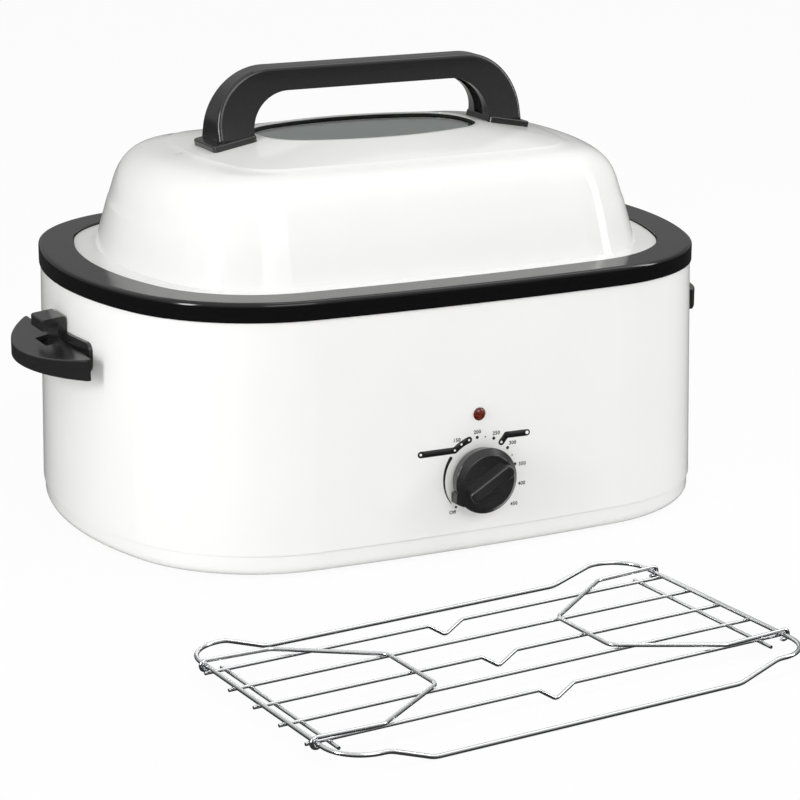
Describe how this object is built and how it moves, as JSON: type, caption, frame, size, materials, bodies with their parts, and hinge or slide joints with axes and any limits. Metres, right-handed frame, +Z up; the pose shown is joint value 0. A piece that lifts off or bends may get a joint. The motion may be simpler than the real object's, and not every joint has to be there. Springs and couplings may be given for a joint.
{
  "type": "electric roaster oven",
  "caption": "Oval countertop roaster oven with a lift-out pan, a domed lid with a window and arch handle, a front control knob, and a wire rack lying in front.",
  "frame": {"origin": "on the counter, under the middle of the housing", "axes": "+X along the long side to the right as seen from the front, +Y away from the control knob to the rear, +Z up"},
  "size_m": [0.5966, 0.7468, 0.3583],
  "materials": {
    "white_enamel": "gloss",
    "black_enamel": "gloss",
    "liner_steel": "dull",
    "plated_steel": "satin",
    "heater_steel": "dull",
    "glass_wool": "matte",
    "control_plastic": "matte",
    "black_phenolic": "satin",
    "black_rubber": "matte",
    "window_glass": "gloss",
    "lamp_glass": "gloss",
    "red_lens": "gloss",
    "rack_wire": "gloss"
  },
  "bodies": {
    "housing": {"outer_body": "white_enamel", "base_pan": "white_enamel", "rubber_feet": "black_rubber", "well_liner": "liner_steel", "insulation_blanket": "glass_wool", "heater_band": "heater_steel", "heater_clamp_strips": "plated_steel", "thermostat": "control_plastic", "thermostat_nut": "plated_steel", "sensor_bracket": "plated_steel", "indicator_lens": "red_lens", "indicator_lamp": "lamp_glass", "lamp_clip": "plated_steel", "terminal_block": "control_plastic", "cord_gland": "black_rubber", "thermal_fuse": "plated_steel", "base_standoffs": "plated_steel", "base_screws": "plated_steel", "side_handle_left": "black_phenolic", "side_handle_right": "black_phenolic", "side_handle_screws": "plated_steel"},
    "pan": {"cooking_pan": "black_enamel"},
    "lid": {"lid_shell": "white_enamel", "window_gasket": "black_rubber", "window_glass": "window_glass", "lid_handle": "black_phenolic", "lid_handle_washers": "plated_steel", "lid_handle_screws": "plated_steel"},
    "knob": {"knob": "black_phenolic", "knob_shaft": "plated_steel"},
    "rack": {"rack_outer_wire": "rack_wire", "rack_end_rod_left": "rack_wire", "rack_end_rod_right": "rack_wire", "rack_long_wire_1": "rack_wire", "rack_long_wire_2": "rack_wire", "rack_long_wire_3": "rack_wire", "rack_long_wire_4": "rack_wire", "rack_long_wire_5": "rack_wire"},
    "rack_handle_left": {"rack_handle_left": "rack_wire"},
    "rack_handle_right": {"rack_handle_right": "rack_wire"}
  },
  "joints": [
    {"name": "pan_lift", "type": "slide", "parent": "housing", "child": "pan", "axis": [0, 0, 1], "range_m": [0, 0.2]},
    {"name": "lid_lift", "type": "slide", "parent": "pan", "child": "lid", "axis": [0, 0, 1], "range_m": [0, 0.25]},
    {"name": "knob_turn", "type": "hinge", "parent": "housing", "child": "knob", "pos_m": [0.004, -0.1975, 0.061], "axis": [0, 1, 0], "range_deg": [-15, 255]},
    {"name": "rack_lift", "type": "slide", "parent": "housing", "child": "rack", "axis": [0, 0, 1], "range_m": [0, 0.1]},
    {"name": "rack_handle_left_fold", "type": "hinge", "parent": "rack", "child": "rack_handle_left", "pos_m": [-0.28132, -0.43489, 0.0124], "axis": [0.0854, -0.9963, 0], "range_deg": [0, 105]},
    {"name": "rack_handle_right_fold", "type": "hinge", "parent": "rack", "child": "rack_handle_right", "pos_m": [0.08932, -0.40311, 0.0124], "axis": [-0.0854, 0.9963, 0], "range_deg": [0, 105]}
  ]
}
